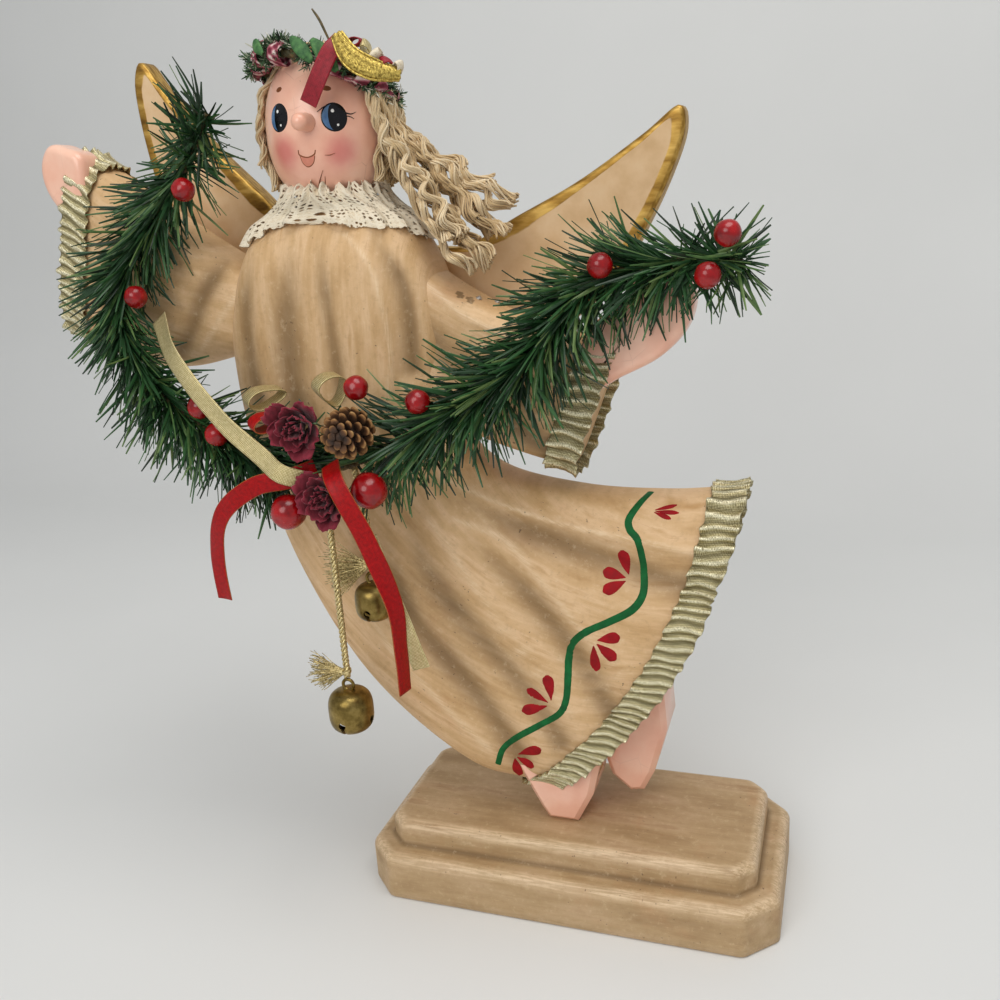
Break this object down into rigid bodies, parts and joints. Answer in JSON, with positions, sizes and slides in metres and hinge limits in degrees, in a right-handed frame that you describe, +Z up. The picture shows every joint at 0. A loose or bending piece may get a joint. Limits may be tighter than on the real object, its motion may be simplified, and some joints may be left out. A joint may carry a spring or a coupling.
{
  "type": "wooden angel figurine",
  "caption": "Carved, painted wooden angel flying over a stepped plinth, with wings, yarn hair and a pine swag with bow and hanging jingle bells.",
  "frame": {"origin": "middle of the plinth's underside", "axes": "+Z up, the figure's front faces -Y, the plinth's long side lies along X with the flying head towards -X"},
  "size_m": [0.2699, 0.098, 0.3078],
  "materials": {
    "pickled_wood": "pickled, satin",
    "flesh_paint": "gloss paint",
    "bare_wood": "bare",
    "gold_paint": "antique gold paint",
    "steel": "plain",
    "gold_lame": "metallic weave",
    "lace": "cotton lace",
    "yarn": "unravelled cotton",
    "pine": "satin",
    "berry": "gloss lacquer",
    "red_ribbon": "satin",
    "gold_ribbon": "metallic weave",
    "gold_cord": "metallic chain stitch",
    "rose": "dried petals",
    "cone": "natural",
    "brass": "aged"
  },
  "bodies": {
    "figure": {"base_screw": "steel", "gown": "pickled_wood", "left_sleeve": "pickled_wood", "right_sleeve": "pickled_wood", "sleeve_brad_1": "steel", "sleeve_brad_2": "steel", "head": "flesh_paint", "neck_dowel": "bare_wood", "nose": "flesh_paint", "left_wing": "gold_paint", "right_wing": "gold_paint", "left_wing_screw": "steel", "right_wing_screw": "steel", "front_foot": "flesh_paint", "rear_foot": "flesh_paint", "front_foot_dowel": "bare_wood", "rear_foot_dowel": "bare_wood", "left_hand": "flesh_paint", "right_hand": "flesh_paint", "hem_ruffle": "gold_lame", "left_cuff_ruffle": "gold_lame", "right_cuff_ruffle": "gold_lame", "lace_collar": "lace", "hair_back": "yarn", "hair_right": "yarn", "hair_left": "yarn", "crown_wreath": "pine", "crown_ribbon": "red_ribbon", "crown_braid": "gold_ribbon", "garland_left": "pine", "garland_right": "pine", "berry_1": "berry", "berry_2": "berry", "berry_3": "berry", "berry_4": "berry", "berry_5": "berry", "berry_6": "berry", "berry_7": "berry", "berry_8": "berry", "berry_9": "berry", "large_berry_1": "berry", "large_berry_2": "berry", "upper_rose": "rose", "lower_rose": "rose", "pinecone": "cone", "red_tail_left": "red_ribbon", "red_tail_right": "red_ribbon", "gold_tail": "gold_ribbon", "gold_span": "gold_ribbon", "red_loop": "red_ribbon", "gold_loop_left": "gold_ribbon", "gold_loop_right": "gold_ribbon", "base": "pickled_wood"},
    "upper_cord": {"upper_bell_cord": "gold_cord"},
    "upper_bell": {"upper_bell": "brass"},
    "upper_pellet": {"upper_pellet": "steel"},
    "lower_cord": {"lower_bell_cord": "gold_cord"},
    "lower_bell": {"lower_bell": "brass"},
    "lower_pellet": {"lower_pellet": "steel"}
  },
  "joints": [
    {"name": "upper_cord_swing", "type": "hinge", "parent": "figure", "child": "upper_cord", "pos_m": [-0.062, -0.0365, 0.1676], "axis": [0, 1, 0], "range_deg": [-18, 18]},
    {"name": "upper_bell_swing", "type": "hinge", "parent": "upper_cord", "child": "upper_bell", "pos_m": [-0.062, -0.032, 0.1267], "axis": [0, 1, 0], "range_deg": [-15, 15]},
    {"name": "upper_pellet_rattle", "type": "slide", "parent": "upper_bell", "child": "upper_pellet", "axis": [0, 0, 1], "range_m": [0, 0.005]},
    {"name": "lower_cord_swing", "type": "hinge", "parent": "figure", "child": "lower_cord", "pos_m": [-0.071, -0.0406, 0.167], "axis": [0, 1, 0], "range_deg": [-18, 18]},
    {"name": "lower_bell_swing", "type": "hinge", "parent": "lower_cord", "child": "lower_bell", "pos_m": [-0.071, -0.041, 0.0896], "axis": [0, 1, 0], "range_deg": [-15, 15]},
    {"name": "lower_pellet_rattle", "type": "slide", "parent": "lower_bell", "child": "lower_pellet", "axis": [0, 0, 1], "range_m": [0, 0.006]}
  ]
}
